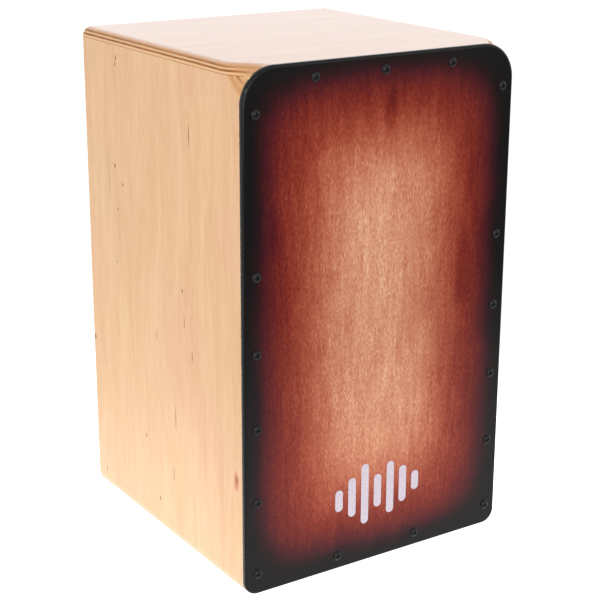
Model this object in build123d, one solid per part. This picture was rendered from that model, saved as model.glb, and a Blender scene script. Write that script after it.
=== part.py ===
from build123d import *
import os
from math import cos, pi, radians, sin

# A cajon: a plywood box drum that the player sits on and strikes on its thin front plate.
# Millimetres. +Z is up, the front plate faces -Y, and the origin is on the floor under the
# centre of the whole object.

# Driving dimensions
WIDTH = 298.0
BODY_HEIGHT = 492.0
BODY_DEPTH = 301.0
FOOT_HEIGHT = 8.0
BOARD = 9.0
PLATE = 4.0
BACK = 5.0
HEAD_HEIGHT = 2.4

# Outline of the box, seen from the front
TOP_EDGE_R = 9.0
BOTTOM_EDGE_R = 14.0
REAR_EDGE_R = 1.5

# The upper front corners of the box are ground back to the plate's larger corner radius
CORNER_R = 34.0
CORNER_BLEND = 34.0
CORNER_STEPS = 6
CUTTER_MARGIN = 5.0
PLATE_EDGE_R = 2.5

# Battens glued inside the corners
FRONT_BATTEN_WIDTH = 18.0
FRONT_BATTEN_DEPTH = 20.0
REAR_BATTEN = 12.0

# Sound hole in the back board
SOUND_HOLE_R = 57.5
SOUND_HOLE_Z = 330.0
SOUND_HOLE_EDGE_R = 1.0

# Screws round the front plate
SCREW_HEAD_R = 4.5
SCREW_SHANK_R = 1.75
PLATE_SCREW_LENGTH = 20.0
SIDE_SCREW_INSET = 13.2
SIDE_SCREW_START = 21.0
SIDE_SCREW_PITCH = 71.8
SIDE_SCREW_STEPS = (0, 1, 2, 3, 4, 6)
TOP_SCREW_INSET = 13.5
TOP_SCREW_XS = (-75.0, 0.0, 75.0)
BOTTOM_SCREW_INSET = 14.2
BOTTOM_SCREW_XS = (-46.0, 46.0)

# Proportions that every screw shares
RIM_SHARE = 0.25
DOME_R_SHARE = 0.62
DOME_H_SHARE = 0.8
TIP_LENGTH = 3.0
TIP_R = 0.3
SLOT_WIDTH_SHARE = 0.24
SLOT_LENGTH_SHARE = 1.05
SLOT_DEPTH_SHARE = 0.62
TURN_STEP = 37.0

# Snare bar, leaning towards the front plate, and the blocks that carry it
SNARE_LEAN = 12.0
SNARE_BAR_Z = 365.0
SNARE_BAR_HEIGHT = 30.0
SNARE_BAR_THICK = 12.0
SNARE_BAR_END_GAP = 1.0
SNARE_BLOCK_WIDTH = 20.0
SNARE_BLOCK_HEIGHT = 50.0
SNARE_BLOCK_FRONT = 20.0
SNARE_BLOCK_BACK = 70.0
BAR_SCREW_LENGTH = 32.0

# Snare sets: a folded steel plate with a row of wire strands standing out of it
SNARE_SET_X = 62.0
SNARE_PLATE_WIDTH = 48.0
SNARE_PLATE_HEIGHT = 14.0
SNARE_PLATE_THICK = 2.0
SNARE_PLATE_OFFSET = 4.0
SNARE_SCREW_X = 17.0
SNARE_SCREW_HEAD_R = 3.0
SNARE_SCREW_HEAD_H = 1.8
SNARE_SCREW_SHANK_R = 1.25
SNARE_SCREW_LENGTH = 10.0
WIRE_COUNT = 10
WIRE_PITCH = 4.4
WIRE_R = 0.9
WIRE_LENGTH = 95.0
WIRE_GAP = 0.15

# Feet
FOOT_INSET_X = 36.0
FOOT_INSET_Y = 50.0
FOOT_TOP_R = 12.5
FOOT_BOTTOM_R = 11.0
FOOT_EDGE_R = 1.0
FOOT_POCKET_R = 5.2
FOOT_POCKET_DEPTH = 4.5
WASHER_R = 4.8
WASHER_THICK = 1.0
FOOT_SCREW_HEAD_R = 4.0
FOOT_SCREW_BITE = 7.0

# Printed sound-wave motif low on the front plate
MOTIF_HEIGHTS = (22.0, 40.0, 62.0, 34.0, 54.0, 38.0, 20.0)
MOTIF_PITCH = 15.0
MOTIF_BAR_WIDTH = 8.6
MOTIF_Z = 71.5
MOTIF_THICK = 0.3
MOTIF_CORNER_SHARE = 0.49

# Levels that follow from the driving dimensions
REAR_Y = (HEAD_HEIGHT + PLATE + BODY_DEPTH) / 2
FRONT_Y = REAR_Y - BODY_DEPTH
PLATE_Y = FRONT_Y - PLATE
BODY_BOTTOM = FOOT_HEIGHT
BODY_TOP = FOOT_HEIGHT + BODY_HEIGHT
HALF_WIDTH = WIDTH / 2
INNER_X = HALF_WIDTH - BOARD
INNER_BOTTOM = BODY_BOTTOM + BOARD
INNER_TOP = BODY_TOP - BOARD
INNER_HEIGHT = INNER_TOP - INNER_BOTTOM


def slab(x0, x1, y0, y1, z0, z1):
    """A box between two corners."""
    centre = Pos((x0 + x1) / 2, (y0 + y1) / 2, (z0 + z1) / 2)
    return centre * Box(x1 - x0, y1 - y0, z1 - z0)


def front_plane(y):
    """A plane facing -Y at depth y, with its own x to the right and its own y up."""
    return Plane(origin=(0, y, 0), x_dir=(1, 0, 0), z_dir=(0, -1, 0))


def outline(top_radius, bottom_radius):
    """The rounded front outline, drawn in the x-z plane."""
    points = [
        (-HALF_WIDTH, BODY_BOTTOM),
        (HALF_WIDTH, BODY_BOTTOM),
        (HALF_WIDTH, BODY_TOP),
        (-HALF_WIDTH, BODY_TOP),
    ]
    face = make_face(Polyline(*points, close=True))
    corners = face.vertices().sort_by(Axis.Y)
    face = fillet(corners[:2], bottom_radius)
    corners = [v for v in face.vertices() if v.Y > BODY_TOP - 1]
    return fillet(corners, top_radius)


def body_envelope():
    """The outer shape of the box without its corner grinding: boards are cut to it."""
    face = front_plane(FRONT_Y) * outline(TOP_EDGE_R, BOTTOM_EDGE_R)
    prism = extrude(face, amount=-BODY_DEPTH)
    rear_edges = prism.faces().sort_by(Axis.Y)[-1].edges()
    return fillet(rear_edges, REAR_EDGE_R)


def corner_section(radius, y, side):
    """What lies outside a rounded upper corner of the given radius, at depth y."""
    centre_x = side * (HALF_WIDTH - radius)
    centre_z = BODY_TOP - radius
    outer_x = side * (HALF_WIDTH + CUTTER_MARGIN)
    outer_z = BODY_TOP + CUTTER_MARGIN
    middle = radius * cos(radians(45))
    arc = ThreePointArc(
        (centre_x, BODY_TOP),
        (centre_x + side * middle, centre_z + middle),
        (side * HALF_WIDTH, centre_z),
    )
    rest = Polyline(
        (side * HALF_WIDTH, centre_z),
        (outer_x, centre_z),
        (outer_x, outer_z),
        (centre_x, outer_z),
        (centre_x, BODY_TOP),
    )
    return front_plane(y) * make_face([arc, rest])


def corner_cutters():
    """Both upper front corners' cutters: the radius swells from the small one to the large one
    in a soft S along the blend."""
    cutters = []
    for side in (-1, 1):
        sections = []
        for step in range(CORNER_STEPS + 1):
            share = step / CORNER_STEPS
            swell = (1 + cos(pi * share)) / 2
            radius = TOP_EDGE_R + (CORNER_R - TOP_EDGE_R) * swell
            sections.append(corner_section(radius, FRONT_Y + CORNER_BLEND * share, side))
        cutters.append(loft(sections, ruled=True))
    return cutters


def shaped(board, envelope, cutters):
    """A board or batten trimmed to the outside shape of the box."""
    solid = board & envelope
    for cutter in cutters:
        solid = solid - cutter
    return solid


def body_boards(envelope, cutters):
    """Top and bottom boards run the full width, over the ends of the side boards."""
    blanks = {
        "top_board": slab(-HALF_WIDTH, HALF_WIDTH, FRONT_Y, REAR_Y, INNER_TOP, BODY_TOP),
        "bottom_board": slab(
            -HALF_WIDTH, HALF_WIDTH, FRONT_Y, REAR_Y, BODY_BOTTOM, INNER_BOTTOM
        ),
        "left_side_board": slab(
            -HALF_WIDTH, -INNER_X, FRONT_Y, REAR_Y, INNER_BOTTOM, INNER_TOP
        ),
        "right_side_board": slab(
            INNER_X, HALF_WIDTH, FRONT_Y, REAR_Y, INNER_BOTTOM, INNER_TOP
        ),
    }
    return {name: shaped(blank, envelope, cutters) for name, blank in blanks.items()}


def back_board():
    """The back board sits inside the four boards, flush with their rear edges."""
    board = slab(-INNER_X, INNER_X, REAR_Y - BACK, REAR_Y, INNER_BOTTOM, INNER_TOP)
    hole = Pos(0, REAR_Y, SOUND_HOLE_Z) * Rot(X=90) * Cylinder(SOUND_HOLE_R, 4 * BACK)
    board = board - hole
    rim = board.edges().filter_by(GeomType.CIRCLE).sort_by(Axis.Y)[-1]
    return fillet(rim, SOUND_HOLE_EDGE_R)


def front_battens(cutters):
    """Four battens behind the front plate, which take its screws."""
    back_y = FRONT_Y + FRONT_BATTEN_DEPTH
    inner_x = INNER_X - FRONT_BATTEN_WIDTH
    width = FRONT_BATTEN_WIDTH
    blanks = {
        "front_batten_left": slab(-INNER_X, -inner_x, FRONT_Y, back_y, INNER_BOTTOM, INNER_TOP),
        "front_batten_right": slab(inner_x, INNER_X, FRONT_Y, back_y, INNER_BOTTOM, INNER_TOP),
        "front_batten_top": slab(-inner_x, inner_x, FRONT_Y, back_y, INNER_TOP - width, INNER_TOP),
        "front_batten_bottom": slab(
            -inner_x, inner_x, FRONT_Y, back_y, INNER_BOTTOM, INNER_BOTTOM + width
        ),
    }
    battens = {}
    for name, blank in blanks.items():
        for cutter in cutters:
            blank = blank - cutter
        battens[name] = blank
    return battens


def rear_battens():
    """Four thinner battens that the back board is glued to."""
    back_y = REAR_Y - BACK
    front_y = back_y - REAR_BATTEN
    inner_x = INNER_X - REAR_BATTEN
    size = REAR_BATTEN
    return {
        "rear_batten_left": slab(-INNER_X, -inner_x, front_y, back_y, INNER_BOTTOM, INNER_TOP),
        "rear_batten_right": slab(inner_x, INNER_X, front_y, back_y, INNER_BOTTOM, INNER_TOP),
        "rear_batten_top": slab(-inner_x, inner_x, front_y, back_y, INNER_TOP - size, INNER_TOP),
        "rear_batten_bottom": slab(
            -inner_x, inner_x, front_y, back_y, INNER_BOTTOM, INNER_BOTTOM + size
        ),
    }


def front_plate():
    """The thin struck plate, with large upper corners and a softened front edge."""
    plate = extrude(front_plane(FRONT_Y) * outline(CORNER_R, BOTTOM_EDGE_R), amount=PLATE)
    front_edges = plate.faces().sort_by(Axis.Y)[0].edges()
    return fillet(front_edges, PLATE_EDGE_R)


def screw(head_r, head_h, shank_r, length, turn):
    """A pan head screw: head up from z = 0, shank down, cross recess turned by an angle."""
    rim = head_h * RIM_SHARE
    dome = ThreePointArc(
        (head_r, rim), (head_r * DOME_R_SHARE, head_h * DOME_H_SHARE), (0, head_h)
    )
    rest = Polyline(
        (0, head_h),
        (0, -length),
        (TIP_R, -length),
        (shank_r, TIP_LENGTH - length),
        (shank_r, 0),
        (head_r, 0),
        (head_r, rim),
    )
    profile = Plane.XZ * make_face([dome, rest])
    solid = revolve(profile, Axis.Z)
    depth = head_h * SLOT_DEPTH_SHARE
    slot = Box(head_r * SLOT_LENGTH_SHARE, head_r * SLOT_WIDTH_SHARE, 2 * depth)
    for angle in (turn, turn + 90):
        solid = solid - Pos(0, 0, head_h) * Rot(Z=angle) * slot
    return solid


def plate_screw_points():
    """Centres of the front plate's screws, as (x, z)."""
    points = []
    for side in (-1, 1):
        for step in SIDE_SCREW_STEPS:
            z = BODY_BOTTOM + SIDE_SCREW_START + SIDE_SCREW_PITCH * step
            points.append((side * (HALF_WIDTH - SIDE_SCREW_INSET), z))
    points += [(x, BODY_TOP - TOP_SCREW_INSET) for x in TOP_SCREW_XS]
    points += [(x, BODY_BOTTOM + BOTTOM_SCREW_INSET) for x in BOTTOM_SCREW_XS]
    return points


def plate_screws():
    """The black screws that hold the front plate on its battens."""
    face = front_plane(PLATE_Y)
    solids = []
    for i, (x, z) in enumerate(plate_screw_points()):
        one = screw(SCREW_HEAD_R, HEAD_HEIGHT, SCREW_SHANK_R, PLATE_SCREW_LENGTH, TURN_STEP * i)
        solids.append(face * Pos(x, z, 0) * one)
    return solids


def snare_plane():
    """The leaning plane of the snare bar's back face: x to the right, y up the lean."""
    lean = radians(SNARE_LEAN)
    wire_axis = SNARE_BAR_THICK + SNARE_PLATE_THICK / 2
    wire_top = SNARE_PLATE_OFFSET + SNARE_PLATE_HEIGHT / 2 + WIRE_LENGTH
    y = FRONT_Y + WIRE_GAP + (wire_axis + WIRE_R) * cos(lean) + wire_top * sin(lean)
    return Plane(
        origin=(0, y, SNARE_BAR_Z), x_dir=(1, 0, 0), z_dir=(0, -cos(lean), -sin(lean))
    )


def snare_bar():
    """The wooden bar across the box that carries the snares."""
    length = 2 * (INNER_X - SNARE_BAR_END_GAP)
    bar = Box(length, SNARE_BAR_HEIGHT, SNARE_BAR_THICK)
    return snare_plane() * Pos(0, 0, SNARE_BAR_THICK / 2) * bar


def snare_blocks():
    """Blocks on the side boards, each with a leaning front face for the bar."""
    reach = WIDTH
    ahead = snare_plane() * Pos(0, 0, reach / 2) * Box(2 * reach, reach, reach)
    low = SNARE_BAR_Z - SNARE_BLOCK_HEIGHT / 2
    high = SNARE_BAR_Z + SNARE_BLOCK_HEIGHT / 2
    front = FRONT_Y + SNARE_BLOCK_FRONT
    back = FRONT_Y + SNARE_BLOCK_BACK
    inner = INNER_X - SNARE_BLOCK_WIDTH
    return {
        "snare_block_left": slab(-INNER_X, -inner, front, back, low, high) - ahead,
        "snare_block_right": slab(inner, INNER_X, front, back, low, high) - ahead,
    }


def snare_bar_screws():
    """One screw through each end of the bar into its block."""
    x = INNER_X - SNARE_BLOCK_WIDTH / 2
    solids = []
    for i, side in enumerate((-1, 1)):
        one = screw(
            FOOT_SCREW_HEAD_R, HEAD_HEIGHT, SCREW_SHANK_R, BAR_SCREW_LENGTH, TURN_STEP * i
        )
        solids.append(snare_plane() * Pos(side * x, 0, SNARE_BAR_THICK) * one)
    return solids


def snare_plate(side):
    """The folded steel plate that grips one row of strands."""
    plate = Box(SNARE_PLATE_WIDTH, SNARE_PLATE_HEIGHT, SNARE_PLATE_THICK)
    height = SNARE_BAR_THICK + SNARE_PLATE_THICK / 2
    return snare_plane() * Pos(side * SNARE_SET_X, SNARE_PLATE_OFFSET, height) * plate


def snare_plate_screws():
    """Two small screws through each snare plate into the bar."""
    top = SNARE_BAR_THICK + SNARE_PLATE_THICK
    solids = []
    for side in (-1, 1):
        for offset in (-SNARE_SCREW_X, SNARE_SCREW_X):
            one = screw(
                SNARE_SCREW_HEAD_R,
                SNARE_SCREW_HEAD_H,
                SNARE_SCREW_SHANK_R,
                SNARE_SCREW_LENGTH,
                TURN_STEP * len(solids),
            )
            place = Pos(side * SNARE_SET_X + offset, SNARE_PLATE_OFFSET, top)
            solids.append(snare_plane() * place * one)
    return solids


def snare_wires(side):
    """One row of strands, each as a plain rod of the coil's outer diameter."""
    start = SNARE_PLATE_OFFSET + SNARE_PLATE_HEIGHT / 2
    height = SNARE_BAR_THICK + SNARE_PLATE_THICK / 2
    first = side * SNARE_SET_X - WIRE_PITCH * (WIRE_COUNT - 1) / 2
    rod = Rot(X=90) * Cylinder(WIRE_R, WIRE_LENGTH)
    return [
        snare_plane() * Pos(first + WIRE_PITCH * i, start + WIRE_LENGTH / 2, height) * rod
        for i in range(WIRE_COUNT)
    ]


def foot_points():
    """Foot names with their centres on the bottom board, as (x, y)."""
    x = HALF_WIDTH - FOOT_INSET_X
    front = FRONT_Y + FOOT_INSET_Y
    rear = REAR_Y - FOOT_INSET_Y
    return {
        "foot_front_left": (-x, front),
        "foot_front_right": (x, front),
        "foot_rear_left": (-x, rear),
        "foot_rear_right": (x, rear),
    }


def foot(x, y):
    """A tapered rubber foot with a pocket for its screw."""
    body = Cone(FOOT_BOTTOM_R, FOOT_TOP_R, FOOT_HEIGHT, align=(Align.CENTER, Align.CENTER, Align.MIN))
    body = fillet(body.edges().sort_by(Axis.Z)[0], FOOT_EDGE_R)
    pocket = Cylinder(FOOT_POCKET_R, 2 * FOOT_POCKET_DEPTH)
    hole = Cylinder(SCREW_SHANK_R, 4 * FOOT_HEIGHT)
    return Pos(x, y, 0) * (body - pocket - hole)


def foot_washer(x, y):
    """A steel washer at the top of the foot's pocket."""
    ring = Cylinder(WASHER_R, WASHER_THICK) - Cylinder(SCREW_SHANK_R, 2 * WASHER_THICK)
    return Pos(x, y, FOOT_POCKET_DEPTH - WASHER_THICK / 2) * ring


def foot_screw(x, y, turn):
    """The screw that holds a foot, head down in the pocket."""
    head_z = FOOT_POCKET_DEPTH - WASHER_THICK
    length = BODY_BOTTOM + FOOT_SCREW_BITE - head_z
    one = screw(FOOT_SCREW_HEAD_R, HEAD_HEIGHT, SCREW_SHANK_R, length, turn)
    return Pos(x, y, head_z) * Rot(X=180) * one


def front_motif():
    """Upright rounded bars like a sound wave, printed on the front plate."""
    face = front_plane(PLATE_Y)
    first = -MOTIF_PITCH * (len(MOTIF_HEIGHTS) - 1) / 2
    solids = []
    for i, height in enumerate(MOTIF_HEIGHTS):
        bar = RectangleRounded(MOTIF_BAR_WIDTH, height, MOTIF_BAR_WIDTH * MOTIF_CORNER_SHARE)
        place = Pos(first + MOTIF_PITCH * i, BODY_BOTTOM + MOTIF_Z, 0)
        solids.append(extrude(face * place * bar, amount=MOTIF_THICK))
    return solids


def drilled(solid, fasteners):
    """A piece with the holes that its fasteners fill."""
    for fastener in fasteners:
        solid = solid - fastener
    return solid


def build():
    """Every node's shape, by name: a solid, or a list of solids for a group."""
    envelope = body_envelope()
    cutters = corner_cutters()
    nodes = body_boards(envelope, cutters)
    nodes["back_board"] = back_board()

    screws = plate_screws()
    nodes["front_plate"] = drilled(front_plate(), screws)
    for name, batten in front_battens(cutters).items():
        nodes[name] = drilled(batten, screws)
    nodes.update(rear_battens())
    nodes["front_plate_screws"] = screws
    nodes["front_motif"] = front_motif()

    bar_screws = snare_bar_screws()
    small_screws = snare_plate_screws()
    nodes["snare_bar"] = drilled(snare_bar(), bar_screws + small_screws)
    for name, block in snare_blocks().items():
        nodes[name] = drilled(block, bar_screws)
    nodes["snare_bar_screws"] = bar_screws
    for side, word in ((-1, "left"), (1, "right")):
        nodes["snare_plate_" + word] = drilled(snare_plate(side), small_screws)
        nodes["snare_wires_" + word] = snare_wires(side)
    nodes["snare_plate_screws"] = small_screws

    foot_screws = []
    washers = []
    for i, (name, (x, y)) in enumerate(foot_points().items()):
        nodes[name] = foot(x, y)
        washers.append(foot_washer(x, y))
        foot_screws.append(foot_screw(x, y, TURN_STEP * i))
    nodes["foot_washers"] = washers
    nodes["foot_screws"] = foot_screws
    nodes["bottom_board"] = drilled(nodes["bottom_board"], foot_screws)
    return nodes


def solids_of(shape):
    """The plain solids in a node's shape."""
    pieces = shape if isinstance(shape, list) else [shape]
    return [solid for piece in pieces for solid in piece.solids()]


os.makedirs("parts", exist_ok=True)
for node, shape in build().items():
    solids = solids_of(shape)
    export_step(solids[0] if len(solids) == 1 else Compound(solids), f"parts/{node}.step")
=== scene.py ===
import math
import random

import bpy
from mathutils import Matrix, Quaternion, Vector


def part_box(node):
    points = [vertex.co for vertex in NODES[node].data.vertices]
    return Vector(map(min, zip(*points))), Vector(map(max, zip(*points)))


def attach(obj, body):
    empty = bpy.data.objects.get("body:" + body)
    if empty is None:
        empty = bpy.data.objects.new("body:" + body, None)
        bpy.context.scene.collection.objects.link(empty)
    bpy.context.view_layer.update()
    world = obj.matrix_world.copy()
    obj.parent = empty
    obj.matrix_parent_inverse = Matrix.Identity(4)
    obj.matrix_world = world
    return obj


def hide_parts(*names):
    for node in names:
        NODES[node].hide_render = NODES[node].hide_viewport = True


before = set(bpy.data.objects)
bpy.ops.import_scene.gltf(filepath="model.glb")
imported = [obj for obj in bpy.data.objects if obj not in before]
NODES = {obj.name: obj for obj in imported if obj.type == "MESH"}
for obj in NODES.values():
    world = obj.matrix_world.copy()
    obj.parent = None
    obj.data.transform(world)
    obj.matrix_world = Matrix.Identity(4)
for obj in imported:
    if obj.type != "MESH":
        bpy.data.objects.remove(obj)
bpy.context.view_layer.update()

MM = 0.001
PER_METRE = 1000.0

# Levels of the object, in millimetres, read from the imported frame
PLATE_LOW, PLATE_HIGH = (corner * PER_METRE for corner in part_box("front_plate"))
TOP_LOW, TOP_HIGH = (corner * PER_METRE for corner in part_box("top_board"))
BOTTOM_LOW, BOTTOM_HIGH = (corner * PER_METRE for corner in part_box("bottom_board"))
BODY_FRONT = PLATE_HIGH.y
BODY_REAR = TOP_HIGH.y
HALF_WIDTH = PLATE_HIGH.x
BOARD = TOP_HIGH.z - TOP_LOW.z
PLATE_CENTRE_Z = (PLATE_LOW.z + PLATE_HIGH.z) / 2
PLATE_HALF_HEIGHT = (PLATE_HIGH.z - PLATE_LOW.z) / 2


# ---------------------------------------------------------------- camera
CAMERA_PLACE = (-0.7869, -1.2092, 0.6982)
CAMERA_HEADING = math.radians(33.37)
CAMERA_DIP = math.radians(17.18)
CAMERA_ROLL = math.radians(0.21)
CAMERA_LENS = 89.63
CAMERA_SHIFT = -0.0333
CAMERA_SENSOR = 36.0


def make_camera():
    """The camera at the photograph's viewing angle."""
    data = bpy.data.cameras.new("camera")
    data.lens = CAMERA_LENS
    data.sensor_width = CAMERA_SENSOR
    data.shift_y = CAMERA_SHIFT
    camera = bpy.data.objects.new("camera", data)
    bpy.context.scene.collection.objects.link(camera)
    flat = math.cos(CAMERA_DIP)
    ahead = Vector(
        (math.sin(CAMERA_HEADING) * flat, math.cos(CAMERA_HEADING) * flat, -math.sin(CAMERA_DIP))
    )
    camera.location = CAMERA_PLACE
    camera.rotation_mode = "QUATERNION"
    roll = Quaternion((0, 0, 1), CAMERA_ROLL)
    camera.rotation_quaternion = ahead.to_track_quat("-Z", "Y") @ roll
    bpy.context.scene.camera = camera


# ---------------------------------------------------------------- light and floor
WHITE = (1, 1, 1, 1)
STAGE_BASE = (0.1, 0.1, 0.1, 1)

# The room's strength at the horizon and overhead, and where the fade between them starts and ends
ROOM_HORIZON = 1.24
ROOM_OVERHEAD = 0.80
ROOM_FADE_LOW = 0.22
ROOM_FADE_HIGH = 0.75

# The floor's glow: full out to one distance in millimetres, faded at another
FLOOR_HALF_SIZE = 12.0
FLOOR_NEAR = 1.92
FLOOR_FAR = 1.0
FLOOR_FULL = 200.0
FLOOR_FADE = 700.0

# The dark card's edges in metres, and its glow at two depths in millimetres
CARD_LEFT = -2.4
CARD_RIGHT = 3.4
CARD_FRONT = -3.2
CARD_REAR = -0.156
CARD_HEIGHT = 0.002
CARD_NEAR = 0.95
CARD_FAR = 0.16
CARD_NEAR_Y = -160.0
CARD_FAR_Y = -1000.0

# Each lamp's name, place, target, size and power
LAMPS = (
    ("key_lamp", (-1.25, -1.05, 1.1), (0, 0, 0.3), (0.32, 0.32), 3.2),
    ("strip_lamp", (-0.85, -0.62, 0.16), (-0.1, -0.1, 0.3), (0.10, 0.5), 0.9),
    ("front_lamp", (-0.35, -1.60, 0.52), (-0.05, -0.15, 0.1), (1.1, 0.9), 4.9),
)


def aim(item, place, target):
    """Puts a light at a place and turns it to a target."""
    item.location = place
    item.rotation_mode = "QUATERNION"
    item.rotation_quaternion = (Vector(target) - Vector(place)).to_track_quat("-Z", "Y")


def softbox(name, place, target, size, power):
    """A white rectangular lamp that isn't seen itself."""
    data = bpy.data.lights.new(name, "AREA")
    data.shape = "RECTANGLE"
    data.size, data.size_y = size
    data.energy = power
    item = bpy.data.objects.new(name, data)
    bpy.context.scene.collection.objects.link(item)
    item.visible_camera = False
    aim(item, place, target)


def make_room():
    """A white room, brightest at the horizon and softer overhead."""
    world = bpy.data.worlds.new("room")
    bpy.context.scene.world = world
    world.use_nodes = True
    tree = world.node_tree
    coordinates = tree.nodes.new("ShaderNodeTexCoord")
    parts = tree.nodes.new("ShaderNodeSeparateXYZ")
    fade = tree.nodes.new("ShaderNodeMapRange")
    fade.inputs["From Min"].default_value = ROOM_FADE_LOW
    fade.inputs["From Max"].default_value = ROOM_FADE_HIGH
    fade.inputs["To Min"].default_value = ROOM_HORIZON
    fade.inputs["To Max"].default_value = ROOM_OVERHEAD
    tree.links.new(coordinates.outputs["Generated"], parts.inputs[0])
    tree.links.new(parts.outputs[2], fade.inputs["Value"])
    tree.links.new(fade.outputs[0], tree.nodes["Background"].inputs["Strength"])
    tree.nodes["Background"].inputs["Color"].default_value = WHITE


def sheet(name, left, right, front, rear, height):
    """A flat rectangle of the stage."""
    mesh = bpy.data.meshes.new(name)
    near = [(left, front, height), (right, front, height)]
    far = [(right, rear, height), (left, rear, height)]
    mesh.from_pydata(near + far, [], [(0, 1, 2, 3)])
    item = bpy.data.objects.new(name, mesh)
    bpy.context.scene.collection.objects.link(item)
    return item


def glowing(shader, strength):
    """Makes a dull dark surface glow white."""
    shader.set("Base Color", STAGE_BASE)
    shader.set("Specular IOR Level", 0.0)
    shader.set("Emission Color", WHITE)
    shader.set("Emission Strength", strength)


def make_card():
    """A dark card flat in front of the object, out of the camera's sight. It keeps the floor's
    glare off the front plate."""
    card = sheet("dark_card", CARD_LEFT, CARD_RIGHT, CARD_FRONT, CARD_REAR, CARD_HEIGHT)
    card.visible_camera = False
    card.visible_shadow = False
    shader = Shader("dark_card")
    depth = shader.parts(shader.place())[1]
    glowing(shader, shader.span(depth, CARD_FAR_Y, CARD_NEAR_Y, CARD_FAR, CARD_NEAR))
    card.data.materials.append(shader.material)


def make_light():
    """Soft studio light: the room, a key from the upper left, a strip low on the left and a
    broad lamp in front."""
    bpy.context.scene.view_settings.view_transform = "Standard"
    make_room()
    make_card()
    for name, place, target, size, power in LAMPS:
        softbox(name, place, target, size, power)


def make_floor():
    """A plain pale light table, brighter round the object."""
    size = FLOOR_HALF_SIZE
    floor = sheet("floor", -size, size, -size, size, 0)
    shader = Shader("floor")
    shader.set("Roughness", 0.9)
    away = shader.vector("LENGTH", shader.place())
    glowing(shader, shader.span(away, FLOOR_FULL, FLOOR_FADE, FLOOR_NEAR, FLOOR_FAR))
    floor.data.materials.append(shader.material)


# ---------------------------------------------------------------- node helper
def srgb(red, green, blue):
    """A display colour, 0 to 255, as the linear colour that the shader takes."""
    def linear(value):
        share = value / 255
        return share / 12.92 if share <= 0.04045 else ((share + 0.055) / 1.055) ** 2.4

    return (linear(red), linear(green), linear(blue), 1.0)


class Shader:
    """Builds one node material around a Principled shader."""

    def __init__(self, name):
        self.material = bpy.data.materials.new(name)
        self.material.use_nodes = True
        self.tree = self.material.node_tree
        self.tree.nodes.clear()
        output = self.tree.nodes.new("ShaderNodeOutputMaterial")
        self.bsdf = self.tree.nodes.new("ShaderNodeBsdfPrincipled")
        self.tree.links.new(self.bsdf.outputs[0], output.inputs[0])

    def put(self, socket, value):
        """Links an output to a socket, or sets the socket's own value."""
        if isinstance(value, bpy.types.NodeSocket):
            self.tree.links.new(value, socket)
        elif value is not None:
            socket.default_value = value

    def set(self, name, value):
        """Sets or links one input of the Principled shader."""
        self.put(self.bsdf.inputs[name], value)

    def place(self):
        """The point's place in millimetres, in the row frame."""
        coordinates = self.tree.nodes.new("ShaderNodeTexCoord")
        return self.vector("SCALE", coordinates.outputs["Object"], scale=PER_METRE)

    def vector(self, operation, a, b=None, scale=None):
        """One step on vectors."""
        node = self.tree.nodes.new("ShaderNodeVectorMath")
        node.operation = operation
        self.put(node.inputs[0], a)
        if b is not None:
            self.put(node.inputs[1], b)
        if scale is not None:
            self.put(node.inputs["Scale"], scale)
        return node.outputs["Value" if operation in ("DOT_PRODUCT", "LENGTH") else "Vector"]

    def parts(self, vector):
        """A vector's three parts."""
        node = self.tree.nodes.new("ShaderNodeSeparateXYZ")
        self.put(node.inputs[0], vector)
        return node.outputs[0], node.outputs[1], node.outputs[2]

    def math(self, operation, a, b=None, c=None):
        """One arithmetic step on up to three values."""
        node = self.tree.nodes.new("ShaderNodeMath")
        node.operation = operation
        for socket, value in zip(node.inputs, (a, b, c)):
            self.put(socket, value)
        return node.outputs[0]

    def span(self, value, low, high, to_low=0.0, to_high=1.0, smooth=True):
        """Maps low..high to to_low..to_high, held at both ends."""
        node = self.tree.nodes.new("ShaderNodeMapRange")
        node.interpolation_type = "SMOOTHSTEP" if smooth else "LINEAR"
        node.clamp = True
        for socket, item in zip(node.inputs, (value, low, high, to_low, to_high)):
            self.put(socket, item)
        return node.outputs[0]

    def noise(self, vector, scale, detail=2.0, roughness=0.5, distortion=0.0):
        """Smooth noise, mostly between 0.3 and 0.7. scale is per millimetre."""
        node = self.tree.nodes.new("ShaderNodeTexNoise")
        self.put(node.inputs["Vector"], vector)
        node.inputs["Scale"].default_value = scale
        node.inputs["Detail"].default_value = detail
        node.inputs["Roughness"].default_value = roughness
        node.inputs["Distortion"].default_value = distortion
        return node.outputs["Fac"]

    def cells(self, vector, scale):
        """Distance from the nearest of many scattered points."""
        node = self.tree.nodes.new("ShaderNodeTexVoronoi")
        self.put(node.inputs["Vector"], vector)
        node.inputs["Scale"].default_value = scale
        return node.outputs["Distance"]

    def ramp(self, value, stops):
        """A colour ramp from (position, colour) pairs, in rising order."""
        node = self.tree.nodes.new("ShaderNodeValToRGB")
        elements = node.color_ramp.elements
        while len(elements) < len(stops):
            elements.new(0.5)
        for element, (position, colour) in zip(elements, stops):
            element.position = position
            element.color = colour
        self.put(node.inputs[0], value)
        return node.outputs[0]

    def mix(self, share, a, b, blend="MIX"):
        """Mixes two colours."""
        node = self.tree.nodes.new("ShaderNodeMix")
        node.data_type = "RGBA"
        node.blend_type = blend
        self.put(node.inputs[0], share)
        self.put(node.inputs[6], a)
        self.put(node.inputs[7], b)
        return node.outputs[2]

    def bump(self, height, strength, distance):
        """Raises the surface's shading by a height."""
        node = self.tree.nodes.new("ShaderNodeBump")
        node.inputs["Strength"].default_value = strength
        node.inputs["Distance"].default_value = distance
        self.put(node.inputs["Height"], height)
        self.set("Normal", node.outputs[0])


def dress(material, *names):
    """Gives CAD nodes a material, in every slot they have."""
    for name in names:
        mesh = NODES[name].data
        if not mesh.materials:
            mesh.materials.append(material)
        for index in range(len(mesh.materials)):
            mesh.materials[index] = material


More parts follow.
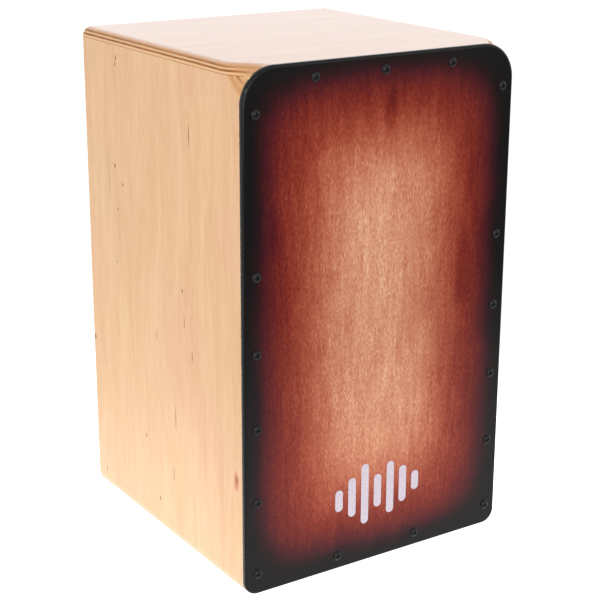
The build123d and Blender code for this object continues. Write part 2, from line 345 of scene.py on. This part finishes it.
# ---------------------------------------------------------------- wood
def grain_vector(shader, place, along, stretch, wander=1.0):
    """Space squeezed across the grain, with slow waves along it. along is 0, 1 or 2."""
    sway = shader.noise(place, SWAY_SCALE)
    offset = shader.math("MULTIPLY", shader.math("SUBTRACT", sway, 0.5), SWAY_REACH * wander)
    moved = shader.vector("ADD", place, combine(shader, offset, offset, offset, along))
    scale = [1.0, 1.0, 1.0]
    scale[along] = 1.0 / stretch
    return shader.vector("MULTIPLY", moved, tuple(scale))


def combine(shader, x, y, z, skip):
    """A vector with one part left at nought."""
    node = shader.tree.nodes.new("ShaderNodeCombineXYZ")
    for index, value in enumerate((x, y, z)):
        if index != skip:
            shader.put(node.inputs[index], value)
    return node.outputs[0]


# How far, in millimetres, slow waves push the grain aside
SWAY_SCALE = 0.006
SWAY_REACH = 26.0

BIRCH_LIGHT = srgb(217, 179, 139)
BIRCH_MID = srgb(210, 169, 128)
BIRCH_DEEP = srgb(203, 158, 115)
BIRCH_PORE = srgb(160, 112, 76)
PLY_LIGHT = srgb(212, 164, 116)
PLY_PALE = srgb(224, 182, 138)
PLY_DARK = srgb(146, 88, 38)
PLY_DARKEST = srgb(104, 54, 18)
PLY_BEVEL = srgb(186, 136, 90)
PLY_SANDED = srgb(204, 154, 108)
JOINT_LINE = srgb(134, 86, 46)
TOP_TINT = srgb(255, 242, 255)
PAINT_BLACK = srgb(8, 7, 7)
BLUSH_WARM = srgb(255, 251, 251)
BLUSH_COOL = srgb(253, 253, 247)

# The face veneer's layers: scale per millimetre and share of the tone
STRIPE_SCALE = 0.12
STRIPE_SHARE = 0.24
FIGURE_SCALE = 0.030
FIGURE_SHARE = 0.26
LINE_SCALE = 0.75
LINE_SHARE = 0.34
HAIR_SCALE = 2.2
HAIR_SHARE = 0.16
PORE_SCALE = 0.36
PORE_STRENGTH = 0.30
SEED_STEP = (37.0, 91.0, 53.0)

# Depths, in millimetres from the outer face, where the dark cross plies start and end
CROSS_PLIES = ((1.95, 3.6), (5.1, 6.85))
BACK_PLIES = ((1.2, 2.1), (3.0, 3.9))
FACE_PLY = 1.3
BACK_FACE_PLY = 1.0
PLY_BLUR = 0.3
PLY_WANDER = 0.7

# Lacquer on the boards
BOARD_SPECULAR = 0.18
COAT_ROUGHNESS = 0.16
FULL_COAT = 1.0
THIN_COAT = 0.3

# The knot in the left side, with half sizes in millimetres
KNOT_Y = -136.5
KNOT_Z = 120.0
KNOT_HALF_SIZE = (3.4, 7.5)
KNOT_CORE_Y = KNOT_Y - 0.8
KNOT_CORE_Z = KNOT_Z + 1.5
KNOT_CORE_HALF_SIZE = (1.5, 4.5)
KNOT_HALO = srgb(186, 106, 62)
KNOT_CORE = srgb(112, 50, 26)
FLECK = srgb(98, 58, 34)
FLECK_RAGGED = 2.0

# Small dark marks in the left side's veneer: (y, z, half width, half length), in millimetres
SIDE_FLECKS = (
    (82, 478.5, 1.1, 3.0),
    (84, 472, 1.0, 2.4),
    (91, 371, 1.3, 2.4),
    (75, 355, 1.2, 2.0),
    (87, 328, 1.1, 1.6),
    (-41, 277, 1.1, 2.4),
    (93, 272, 0.9, 1.4),
    (39.5, 103, 1.1, 2.4),
    (13.5, 44, 1.2, 2.2),
    (-59, 426, 0.7, 11.0),
    (104, 360, 0.35, 30.0),
    (-23, 143, 0.6, 13.0),
    (11, 219, 0.5, 7.0),
    (-17, 81, 0.55, 8.0),
    (-44, 246, 0.55, 6.0),
    (-58, 217, 0.5, 6.0),
    (134, 30, 0.6, 5.0),
    (150, 176, 1.8, 3.0),
)


def veneer(shader, place, along, seed):
    """Birch face veneer: pale, with soft stripes, slow figure and pores. Returns colour and
    height."""
    shifted = shader.vector("ADD", place, tuple(seed * step for step in SEED_STEP))
    stripes = shader.noise(grain_vector(shader, shifted, along, 16.0), STRIPE_SCALE, 3.0, 0.6)
    broad = grain_vector(shader, shifted, along, 6.0)
    figure = shader.noise(broad, FIGURE_SCALE, 3.0, 0.55, 0.8)
    fine = grain_vector(shader, shifted, along, 22.0, 0.6)
    lines = shader.noise(fine, LINE_SCALE, 3.0, 0.65)
    hair = shader.noise(fine, HAIR_SCALE, 2.0, 0.6)
    tone = shader.math("MULTIPLY", stripes, STRIPE_SHARE)
    tone = shader.math("MULTIPLY_ADD", figure, FIGURE_SHARE, tone)
    tone = shader.math("MULTIPLY_ADD", lines, LINE_SHARE, tone)
    tone = shader.math("MULTIPLY_ADD", hair, HAIR_SHARE, tone)
    colour = shader.ramp(tone, [(0.395, BIRCH_DEEP), (0.50, BIRCH_MID), (0.605, BIRCH_LIGHT)])
    hue = shader.noise(shifted, 0.012, 2.0, 0.5)
    blush = shader.mix(shader.span(hue, 0.35, 0.65), BLUSH_WARM, BLUSH_COOL)
    colour = shader.mix(1.0, colour, blush, "MULTIPLY")
    pores = shader.cells(grain_vector(shader, shifted, along, 10.0, 0.4), PORE_SCALE)
    chosen = shader.span(shader.noise(shifted, 0.05, 1.0), 0.50, 0.60)
    pore = shader.span(pores, 0.04, 0.16, 1.0, 0.0)
    pore = shader.math("MULTIPLY", shader.math("MULTIPLY", pore, chosen), PORE_STRENGTH)
    colour = shader.mix(pore, colour, BIRCH_PORE)
    height = shader.math("MULTIPLY_ADD", lines, 0.6, shader.math("MULTIPLY", hair, 0.4))
    return colour, height


def oval(shader, u, v, place_u, place_v, half_u, half_v):
    """Squared distance from a mark's middle, 1 at its rim."""
    across = shader.math("DIVIDE", shader.math("SUBTRACT", u, place_u), half_u)
    along = shader.math("DIVIDE", shader.math("SUBTRACT", v, place_v), half_v)
    squared = shader.math("MULTIPLY", along, along)
    return shader.math("MULTIPLY_ADD", across, across, squared)


def flecks(shader, place, colour):
    """Adds the veneer's small dark marks and one knot on the side that faces -X."""
    x, y, z = shader.parts(place)
    outside = shader.math("LESS_THAN", x, 0.0)
    ragged = shader.math("SUBTRACT", shader.noise(place, 0.45, 3.0, 0.7), 0.5)
    y = shader.math("MULTIPLY_ADD", ragged, FLECK_RAGGED, y)
    total = None
    for mark_y, mark_z, half_width, half_length in SIDE_FLECKS:
        reach = oval(shader, y, z, mark_y, mark_z, half_width, half_length)
        mark = shader.span(reach, 0.1, 1.6, 0.95, 0.0)
        total = mark if total is None else shader.math("MAXIMUM", total, mark)
    colour = shader.mix(shader.math("MULTIPLY", total, outside), colour, FLECK)
    reach = oval(shader, y, z, KNOT_Y, KNOT_Z, *KNOT_HALF_SIZE)
    halo = shader.math("MULTIPLY", shader.span(reach, 0.4, 2.6, 0.85, 0.0), outside)
    inner = oval(shader, y, z, KNOT_CORE_Y, KNOT_CORE_Z, *KNOT_CORE_HALF_SIZE)
    core = shader.math("MULTIPLY", shader.span(inner, 0.2, 1.4, 0.9, 0.0), outside)
    colour = shader.mix(halo, colour, KNOT_HALO)
    return shader.mix(core, colour, KNOT_CORE)


def plies(shader, depth, place, facing, edges):
    """The colour of cut plies at a depth from the outer face. edges are the depths where a dark
    cross ply starts and ends; facing is 1 where the cut is flat along the plies."""
    wobble = shader.math("SUBTRACT", shader.noise(place, 0.10, 3.0), 0.5)
    depth = shader.math("MULTIPLY_ADD", wobble, PLY_WANDER, depth)
    dark = None
    for start, end in edges:
        rise = shader.span(depth, start - PLY_BLUR, start + PLY_BLUR)
        fall = shader.span(depth, end - PLY_BLUR, end + PLY_BLUR, 1.0, 0.0)
        band = shader.math("MULTIPLY", rise, fall)
        dark = band if dark is None else shader.math("MAXIMUM", dark, band)
    blotch = shader.noise(place, 0.055, 3.0, 0.6)
    fibre = shader.noise(place, 1.1, 4.0, 0.7)
    deep = shader.mix(shader.span(blotch, 0.45, 0.66), PLY_DARK, PLY_DARKEST)
    deep = shader.mix(shader.span(fibre, 0.35, 0.8, 0.0, 0.5), deep, PLY_BEVEL)
    deep = shader.mix(shader.span(facing, 0.60, 0.85, 0.0, 0.8), deep, PLY_SANDED)
    light = shader.mix(shader.span(fibre, 0.3, 0.75), PLY_LIGHT, PLY_PALE)
    light = shader.mix(shader.span(facing, 0.60, 0.85), light, PLY_SANDED)
    return shader.mix(dark, light, deep)


def plywood(name, axis, outer, inward, along, edges, face_ply, seed, coat, marks=False):
    """Clear-lacquered birch plywood. axis is the board's thin axis, outer the level of its
    outside face on that axis, inward +1 or -1, along the face grain's axis."""
    shader = Shader(name)
    place = shader.place()
    level = shader.parts(place)[axis]
    depth = shader.math("MULTIPLY", shader.math("SUBTRACT", level, outer), inward)
    face, height = veneer(shader, place, along, seed)
    if axis == 2:
        face = shader.mix(1.0, face, TOP_TINT, "MULTIPLY")
    if marks:
        face = flecks(shader, place, face)
    geometry = shader.tree.nodes.new("ShaderNodeNewGeometry")
    facing = shader.math("ABSOLUTE", shader.parts(geometry.outputs["True Normal"])[axis])
    # On the bottom board the cut plies never take the lighter sanded colour where the edge rounds,
    # so they stay darker than the same cut on the top board: painted shade under the box.
    under = axis == 2 and inward == 1
    cut = plies(shader, depth, place, 0.0 if under else facing, edges)
    through = shader.span(depth, face_ply - 0.25, face_ply + 0.25)
    back_face = shader.span(depth, BOARD - 0.3, BOARD - 0.1)
    flat = shader.span(facing, 0.985, 0.998)
    inner = shader.math("MULTIPLY", back_face, flat)
    share = shader.math("MULTIPLY", through, shader.math("SUBTRACT", 1.0, inner))
    colour = shader.mix(share, face, cut)
    if axis == 0:
        colour = joint_line(shader, place, colour)
    if axis != 1:
        colour = front_paint(shader, place, colour)
    shader.set("Base Color", colour)
    shader.set("Roughness", shader.span(height, 0.2, 0.8, 0.38, 0.50))
    shader.set("Specular IOR Level", BOARD_SPECULAR)
    shader.set("Coat Weight", shader.math("MULTIPLY", shader.math("SUBTRACT", 1.0, share), coat))
    shader.set("Coat Roughness", COAT_ROUGHNESS)
    shader.bump(height, 0.10, 0.06 * MM)
    return shader.material


def joint_line(shader, place, colour):
    """The thin brown glue line where a side board meets the top and the bottom board."""
    z = shader.parts(place)[2]
    wander = shader.math("SUBTRACT", shader.noise(place, 0.05, 3.0), 0.5)
    z = shader.math("MULTIPLY_ADD", wander, 0.5, z)
    upper = shader.math("SUBTRACT", TOP_LOW.z, z)
    lower = shader.math("SUBTRACT", z, BOTTOM_HIGH.z)
    nearest = shader.math("MINIMUM", upper, lower)
    line = shader.span(nearest, 0.35, 0.8, 0.85, 0.0)
    return shader.mix(line, colour, JOINT_LINE)


def front_paint(shader, place, colour):
    """The front plate's black paint laps a ragged fraction of a millimetre onto the box."""
    y = shader.parts(place)[1]
    ragged = shader.noise(place, 0.55, 3.0, 0.65)
    limit = shader.math("MULTIPLY_ADD", ragged, 2.2, BODY_FRONT - 0.55)
    painted = shader.span(shader.math("SUBTRACT", y, limit), -0.08, 0.08, 1.0, 0.0)
    return shader.mix(painted, colour, PAINT_BLACK)


def dress_boards():
    """The five plywood boards."""
    board_plies = (CROSS_PLIES, FACE_PLY)
    left = plywood("birch_left", 0, -HALF_WIDTH, 1, 2, *board_plies, 3, THIN_COAT, marks=True)
    right = plywood("birch_right", 0, HALF_WIDTH, -1, 2, *board_plies, 5, THIN_COAT)
    top = plywood("birch_top", 2, TOP_HIGH.z, -1, 0, *board_plies, 1, FULL_COAT)
    bottom = plywood("birch_bottom", 2, BOTTOM_LOW.z, 1, 0, *board_plies, 2, THIN_COAT)
    back = plywood("birch_back", 1, BODY_REAR, -1, 2, BACK_PLIES, BACK_FACE_PLY, 7, THIN_COAT)
    dress(left, "left_side_board")
    dress(right, "right_side_board")
    dress(top, "top_board")
    dress(bottom, "bottom_board")
    dress(back, "back_board")


SPRUCE_LINE = srgb(184, 140, 92)
SPRUCE_MID = srgb(214, 174, 124)
SPRUCE_PALE = srgb(232, 198, 150)


def softwood(name, along, seed):
    """Bare planed spruce with dark growth lines along one axis."""
    shader = Shader(name)
    place = shader.vector("ADD", shader.place(), (seed * 41.0, seed * 17.0, seed * 29.0))
    slow = grain_vector(shader, place, along, 30.0, 0.3)
    rings = shader.noise(slow, 0.30, 2.0, 0.5, 0.6)
    lines = shader.noise(grain_vector(shader, place, along, 40.0, 0.2), 1.6, 3.0, 0.6)
    wave = shader.math("SINE", shader.math("MULTIPLY", rings, 34.0))
    tone = shader.math("MULTIPLY_ADD", wave, 0.22, shader.math("MULTIPLY", lines, 0.9))
    colour = shader.ramp(tone, [(0.2, SPRUCE_LINE), (0.45, SPRUCE_MID), (0.8, SPRUCE_PALE)])
    shader.set("Base Color", colour)
    shader.set("Roughness", 0.7)
    shader.bump(lines, 0.25, 0.1 * MM)
    return shader.material


# ---------------------------------------------------------------- burst lacquer
AMBER = (0.600, 0.272, 0.158)
# How much of red, green and blue the sprayed red-brown coat takes away
RED_COAT = (1.0, 2.3, 2.55)
RED_DENSITY = 1.62
RED_REACH = 68.0
RED_EDGE = 2.25
BLACK_DENSITY = 5.2
BLACK_REACH = 13.2
BLACK_EDGE = 1.3
# The black coat scatters a little violet where it is thin
THIN_BLACK = (0.006, 0.0, 0.016)
SPRAY_BLEND = 25.0
# How much the veneer's grain shows through the red coat: by its share, and everywhere
GRAIN_IN_RED = -0.45
GRAIN_EVERYWHERE = -0.82
# Depths behind the plate's face between which the rounded edge turns black
ROUND_OVER_START = 0.35
ROUND_OVER_END = 1.1
# The plate's tone, with a lift low down and a small one high up
TONE_BASE = 0.94
TONE_LIFT_LOW = 0.15
TONE_LIFT_HIGH = 0.06
# Dark figure in the plate's veneer: (x, z, half width, half length), in millimetres
PLATE_FIGURE = ((6, 447, 6, 15), (9, 462, 4, 9), (-118, 355, 5, 22), (96, 290, 8, 40))
PLATE_SPECULAR = 0.05
PLATE_COAT = 0.45
PLATE_COAT_ROUGHNESS = 0.13
# The spray pattern sits a little high and to the left on the plate
SPRAY_SHIFT_X = -1.2
SPRAY_SHIFT_Z = 3.0
SPRAY_HALF_WIDTH = HALF_WIDTH - 4.0
SPRAY_HALF_HEIGHT = PLATE_HALF_HEIGHT - 0.5


def inside_distance(shader, x, z):
    """Distance in from the spray pattern's edge, rounded off where two edges meet."""
    across = shader.math("ABSOLUTE", shader.math("SUBTRACT", x, SPRAY_SHIFT_X))
    across = shader.math("SUBTRACT", SPRAY_HALF_WIDTH, across)
    upright = shader.math("ABSOLUTE", shader.math("SUBTRACT", z, PLATE_CENTRE_Z + SPRAY_SHIFT_Z))
    upright = shader.math("SUBTRACT", SPRAY_HALF_HEIGHT, upright)
    total = None
    for distance in (across, upright):
        share = shader.math("EXPONENT", shader.math("DIVIDE", distance, -SPRAY_BLEND))
        total = share if total is None else shader.math("ADD", total, share)
    return shader.math("MULTIPLY", shader.math("LOGARITHM", total, math.e), -SPRAY_BLEND)


def falloff(shader, distance, reach, edge, density):
    """A coat's density: full at the pattern's edge, gone a little past its reach."""
    ratio = shader.math("DIVIDE", shader.math("MAXIMUM", distance, 0.0), reach)
    fade = shader.math("EXPONENT", shader.math("MULTIPLY", shader.math("POWER", ratio, edge), -1.0))
    return shader.math("MULTIPLY", fade, density)


def burst():
    """Semi-gloss lacquer over birch, black at the edge through red-brown to an amber middle:
    each coat darkens what is under it by its own density. The rear face is bare veneer."""
    shader = Shader("burst_lacquer")
    place = shader.place()
    x, y, z = shader.parts(place)
    drift = shader.math("SUBTRACT", shader.noise(place, 0.012, 2.0, 0.5), 0.5)
    ripple = shader.math("SUBTRACT", shader.noise(place, 0.05, 2.0, 0.5), 0.5)
    stray = shader.math("MULTIPLY_ADD", drift, 12.0, shader.math("MULTIPLY", ripple, 6.0))
    distance = shader.math("ADD", inside_distance(shader, x, z), stray)
    grain, height = plate_grain(shader, place)
    uneven = shader.math("SUBTRACT", grain, 0.5)
    red = falloff(shader, distance, RED_REACH, RED_EDGE, RED_DENSITY)
    red = shader.math("MULTIPLY", red, shader.math("MULTIPLY_ADD", uneven, GRAIN_IN_RED, 1.0))
    red = shader.math("MULTIPLY_ADD", uneven, GRAIN_EVERYWHERE, red)
    black = falloff(shader, distance, BLACK_REACH, BLACK_EDGE, BLACK_DENSITY)
    turn_start = PLATE_LOW.y + ROUND_OVER_START
    turn_end = PLATE_LOW.y + ROUND_OVER_END
    round_over = shader.span(y, turn_start, turn_end, 0.0, BLACK_DENSITY)
    black = shader.math("ADD", black, round_over)
    low_lift = shader.span(z, 50.0, 260.0, TONE_LIFT_LOW, 0.0)
    high_lift = shader.span(z, 280.0, 430.0, 0.0, TONE_LIFT_HIGH)
    tone = shader.math("ADD", shader.math("ADD", low_lift, high_lift), TONE_BASE)
    clear = shader.math("EXPONENT", shader.math("MULTIPLY", black, -1.0))
    thin = shader.math("MULTIPLY", clear, shader.math("SUBTRACT", 1.0, clear))
    channels = []
    for base, share, haze in zip(AMBER, RED_COAT, THIN_BLACK):
        density = shader.math("MULTIPLY_ADD", red, share, black)
        seen = shader.math("EXPONENT", shader.math("MULTIPLY", density, -1.0))
        seen = shader.math("MULTIPLY_ADD", shader.math("MULTIPLY", seen, base), tone, 0.001)
        channels.append(shader.math("MULTIPLY_ADD", thin, haze, seen))
    mixed = shader.tree.nodes.new("ShaderNodeCombineColor")
    for socket, channel in zip(mixed.inputs, channels):
        shader.put(socket, channel)
    geometry = shader.tree.nodes.new("ShaderNodeNewGeometry")
    behind = shader.span(shader.parts(geometry.outputs["True Normal"])[1], 0.90, 0.98)
    bare = veneer(shader, place, 2, 9)[0]
    shader.set("Base Color", shader.mix(behind, mixed.outputs[0], bare))
    shader.set("Roughness", shader.span(height, 0.2, 0.8, 0.26, 0.36))
    shader.set("Specular IOR Level", PLATE_SPECULAR)
    shader.set("Coat Weight", PLATE_COAT)
    shader.set("Coat Roughness", PLATE_COAT_ROUGHNESS)
    shader.bump(height, 0.12, 0.05 * MM)
    return shader.material


def plate_grain(shader, place):
    """Upright grain of the front plate: short dense flecks over a slow figure."""
    x, _, z = shader.parts(place)
    fleck = shader.noise(grain_vector(shader, place, 2, 3.2, 0.5), 0.80, 4.0, 0.80)
    streak = shader.noise(grain_vector(shader, place, 2, 9.0, 0.6), 0.20, 3.0, 0.6)
    figure = shader.noise(grain_vector(shader, place, 2, 2.6, 0.8), 0.028, 3.0, 0.6, 0.8)
    flecks_tone = shader.span(fleck, 0.30, 0.70, smooth=False)
    grain = shader.math("MULTIPLY", flecks_tone, 0.62)
    grain = shader.math("MULTIPLY_ADD", shader.span(streak, 0.3, 0.7, smooth=False), 0.20, grain)
    grain = shader.math("MULTIPLY_ADD", shader.span(figure, 0.3, 0.7, smooth=False), 0.18, grain)
    for mark_x, mark_z, half_width, half_length in PLATE_FIGURE:
        reach = oval(shader, x, z, mark_x, mark_z, half_width, half_length)
        grain = shader.math("SUBTRACT", grain, shader.span(reach, 0.0, 2.0, 0.2, 0.0))
    return grain, fleck


# ---------------------------------------------------------------- print, metal, rubber
def pale_print():
    """A thin pale print with a faint mottle."""
    shader = Shader("pale_print")
    place = shader.place()
    mottle = shader.noise(place, 0.35, 3.0, 0.6)
    colour = shader.mix(shader.span(mottle, 0.3, 0.7), srgb(194, 182, 192), srgb(206, 196, 206))
    shader.set("Base Color", colour)
    shader.set("Roughness", shader.span(mottle, 0.3, 0.7, 0.38, 0.5))
    shader.bump(mottle, 0.1, 0.05 * MM)
    return shader.material


def black_screw():
    """Black-finished steel, a little worn on its high spots."""
    shader = Shader("black_screw")
    place = shader.place()
    speck = shader.noise(place, 1.6, 4.0, 0.7)
    colour = shader.mix(shader.span(speck, 0.55, 0.75), srgb(24, 24, 25), srgb(52, 52, 54))
    shader.set("Base Color", colour)
    shader.set("Metallic", 0.55)
    shader.set("Roughness", shader.span(speck, 0.3, 0.7, 0.30, 0.46))
    shader.bump(speck, 0.2, 0.05 * MM)
    return shader.material


def steel(name, light, dark, roughness):
    """Plain steel with a fine uneven finish."""
    shader = Shader(name)
    place = shader.place()
    speck = shader.noise(place, 0.9, 4.0, 0.65)
    shader.set("Base Color", shader.mix(shader.span(speck, 0.3, 0.7), dark, light))
    shader.set("Metallic", 1.0)
    shader.set("Roughness", shader.span(speck, 0.3, 0.7, roughness, roughness + 0.14))
    shader.bump(speck, 0.15, 0.05 * MM)
    return shader.material


def rubber():
    """Matt black rubber with moulding grain and dust."""
    shader = Shader("black_rubber")
    place = shader.place()
    grain = shader.noise(place, 2.4, 3.0, 0.6)
    dust = shader.noise(place, 0.2, 3.0, 0.6)
    colour = shader.mix(shader.span(dust, 0.5, 0.8, 0.0, 0.5), srgb(28, 28, 29), srgb(66, 64, 62))
    shader.set("Base Color", colour)
    shader.set("Roughness", shader.span(grain, 0.3, 0.7, 0.62, 0.8))
    shader.bump(grain, 0.35, 0.1 * MM)
    return shader.material


# ---------------------------------------------------------------- snare wires
STRANDS = 10
STRAND_LEAN = math.radians(12.0)
COIL_R = 0.9 * MM
WIRE_R = 0.2 * MM
COIL_PITCH = 1.0 * MM
STEPS_PER_TURN = 9
WIRE_SIDES = 5
STRAIGHT_END = 4.0 * MM
# Each strand's coil starts at a turn of its own, up to about one full turn
START_TURN_MAX = 6.28
SEEDS = {"left": 4, "right": 5}


def coil_path(start, end, turns_from):
    """Points of one strand: a straight end in the clamp, then a helix to the free end."""
    axis = (end - start).normalized()
    side = Vector((1, 0, 0))
    front = axis.cross(side)
    length = (end - start).length - STRAIGHT_END
    steps = int(length / COIL_PITCH * STEPS_PER_TURN)
    points = [start + axis * WIRE_R]
    for step in range(steps + 1):
        turn = turns_from + step / STEPS_PER_TURN * 2 * math.pi
        swell = min(1.0, step / (2 * STEPS_PER_TURN))
        offset = (side * math.cos(turn) + front * math.sin(turn)) * (COIL_R - WIRE_R) * swell
        points.append(start + axis * (STRAIGHT_END + length * step / steps) + offset)
    return points


def add_wire(points, vertices, faces):
    """Adds a closed round wire along some points."""
    first = len(vertices)
    up = Vector((0, 0, 1))
    for index, point in enumerate(points):
        ahead = points[min(index + 1, len(points) - 1)] - points[max(index - 1, 0)]
        across = ahead.cross(up).normalized()
        other = ahead.cross(across).normalized()
        for corner in range(WIRE_SIDES):
            angle = 2 * math.pi * corner / WIRE_SIDES
            vertices.append(point + (across * math.cos(angle) + other * math.sin(angle)) * WIRE_R)
    for ring in range(len(points) - 1):
        low = first + ring * WIRE_SIDES
        for corner in range(WIRE_SIDES):
            following = (corner + 1) % WIRE_SIDES
            upper = low + WIRE_SIDES
            faces.append((low + corner, low + following, upper + following, upper + corner))
    last = first + (len(points) - 1) * WIRE_SIDES
    faces.append(tuple(range(first + WIRE_SIDES - 1, first - 1, -1)))
    faces.append(tuple(range(last, last + WIRE_SIDES)))


def make_coils(side):
    """The spiral strands of one snare set, where the CAD has plain rods."""
    node = "snare_wires_" + side
    low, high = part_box(node)
    thick_y = COIL_R * math.cos(STRAND_LEAN)
    thick_z = COIL_R * math.sin(STRAND_LEAN)
    pitch = (high.x - low.x - 2 * COIL_R) / (STRANDS - 1)
    chance = random.Random(SEEDS[side])
    vertices, faces = [], []
    for strand in range(STRANDS):
        x = low.x + COIL_R + strand * pitch
        start = Vector((x, high.y - thick_y, low.z + thick_z))
        end = Vector((x, low.y + thick_y, high.z - thick_z))
        add_wire(coil_path(start, end, chance.uniform(0, START_TURN_MAX)), vertices, faces)
    mesh = bpy.data.meshes.new("snare_coils_" + side)
    mesh.from_pydata(vertices, [], faces)
    mesh.polygons.foreach_set("use_smooth", [True] * len(faces))
    mesh.materials.append(NODES[node].data.materials[0])
    coils = bpy.data.objects.new("snare_coils_" + side, mesh)
    bpy.context.scene.collection.objects.link(coils)
    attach(coils, "root")
    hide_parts(node)


# ---------------------------------------------------------------- dressing the CAD parts
def dress_rest():
    """The plate, its print, the battens, the snare set, the screws and the feet."""
    dress(burst(), "front_plate")
    dress(pale_print(), "front_motif")
    dress(black_screw(), "front_plate_screws")
    for index, (ending, along) in enumerate((("left", 2), ("right", 2), ("top", 0), ("bottom", 0))):
        wood = softwood("spruce_" + ending, along, index + 1)
        dress(wood, "front_batten_" + ending, "rear_batten_" + ending)
    dress(softwood("spruce_bar", 0, 6), "snare_bar")
    dress(softwood("spruce_block", 2, 8), "snare_block_left", "snare_block_right")
    zinc = steel("zinc_steel", srgb(196, 196, 192), srgb(150, 150, 148), 0.32)
    dress(zinc, "snare_bar_screws", "snare_plate_screws", "foot_screws", "foot_washers")
    bright = steel("snare_steel", srgb(206, 206, 208), srgb(160, 160, 162), 0.24)
    dress(bright, "snare_plate_left", "snare_plate_right", "snare_wires_left", "snare_wires_right")
    feet = [f"foot_{end}_{side}" for end in ("front", "rear") for side in ("left", "right")]
    dress(rubber(), *feet)


make_camera()
make_light()
make_floor()
dress_boards()
dress_rest()
for side in ("left", "right"):
    make_coils(side)
